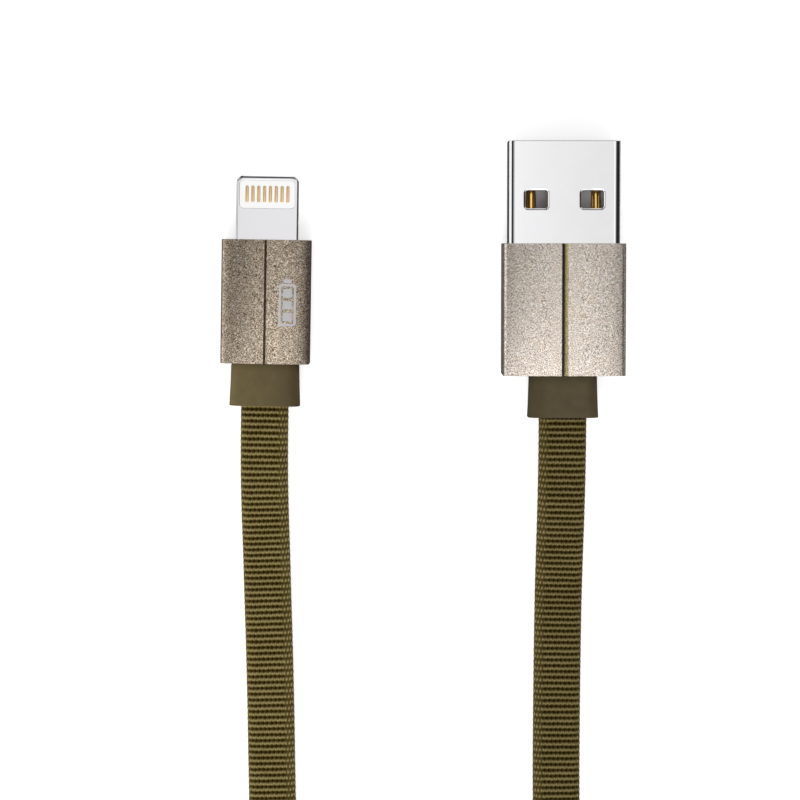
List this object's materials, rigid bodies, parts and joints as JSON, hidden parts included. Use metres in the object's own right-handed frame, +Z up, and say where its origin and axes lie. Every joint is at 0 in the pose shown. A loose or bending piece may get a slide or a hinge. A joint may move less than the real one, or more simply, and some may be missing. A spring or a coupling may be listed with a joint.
{
  "type": "charging cable",
  "caption": "Flat woven charging cable with a USB-A plug at one end and a slim reversible plug at the other, spare length wound in a tied hank.",
  "frame": {"origin": "on the table under the middle of the two plugs' footprint", "axes": "+Y the way both plugs point, +X from the slim plug towards the USB plug, +Z up from the table"},
  "size_m": [0.0488, 0.1954, 0.0079],
  "materials": {
    "usb_shell_steel": "bright nickel-plated steel",
    "usb_insulator": "pale grey moulded plastic",
    "inner_plastic": "natural moulded plastic",
    "usb_sleeve_metal": "fine sandblasted champagne anodising",
    "slim_sleeve_metal": "sandblasted bronze anodising",
    "usb_collar_rubber": "matte olive moulded elastomer",
    "slim_collar_rubber": "matte olive moulded elastomer",
    "band_steel": "folded sheet steel",
    "contact_gold": "gold plated",
    "wire_power": "red wire insulation",
    "wire_data_minus": "white wire insulation",
    "wire_data_plus": "green wire insulation",
    "wire_ground": "black wire insulation",
    "slim_tab_steel": "polished stainless steel",
    "slim_insulator": "glossy white plastic",
    "board_green": "green solder mask",
    "chip_black": "black moulded package",
    "capacitor_tan": "ceramic",
    "woven_cord": "olive ribbed flat weave",
    "tie_fabric": "black hook-and-loop tape"
  },
  "bodies": {
    "root": {"cord_hank": "woven_cord", "cord_run_slim": "woven_cord", "cord_run_usb": "woven_cord", "hank_tie_left": "tie_fabric", "hank_tie_right": "tie_fabric", "slim_capacitor_1": "capacitor_tan", "slim_capacitor_2": "capacitor_tan", "slim_circuit_board": "board_green", "slim_collar": "slim_collar_rubber", "slim_contact_bottom_1": "contact_gold", "slim_contact_bottom_2": "contact_gold", "slim_contact_bottom_3": "contact_gold", "slim_contact_bottom_4": "contact_gold", "slim_contact_bottom_5": "contact_gold", "slim_contact_bottom_6": "contact_gold", "slim_contact_bottom_7": "contact_gold", "slim_contact_bottom_8": "contact_gold", "slim_contact_top_1": "contact_gold", "slim_contact_top_2": "contact_gold", "slim_contact_top_3": "contact_gold", "slim_contact_top_4": "contact_gold", "slim_contact_top_5": "contact_gold", "slim_contact_top_6": "contact_gold", "slim_contact_top_7": "contact_gold", "slim_contact_top_8": "contact_gold", "slim_controller_chip": "chip_black", "slim_crimp_band": "band_steel", "slim_inner_mould": "inner_plastic", "slim_shield_can": "band_steel", "slim_sleeve": "slim_sleeve_metal", "slim_tab_frame": "slim_tab_steel", "slim_tab_insulator": "slim_insulator", "slim_wire_data_minus": "wire_data_minus", "slim_wire_data_plus": "wire_data_plus", "slim_wire_ground": "wire_ground", "slim_wire_power": "wire_power", "usb_collar": "usb_collar_rubber", "usb_contact_data_minus": "contact_gold", "usb_contact_data_plus": "contact_gold", "usb_contact_ground": "contact_gold", "usb_contact_power": "contact_gold", "usb_crimp_band": "band_steel", "usb_inner_mould": "inner_plastic", "usb_shell": "usb_shell_steel", "usb_sleeve": "usb_sleeve_metal", "usb_tongue": "usb_insulator", "usb_wire_data_minus": "wire_data_minus", "usb_wire_data_plus": "wire_data_plus", "usb_wire_ground": "wire_ground", "usb_wire_power": "wire_power"}
  },
  "joints": []
}
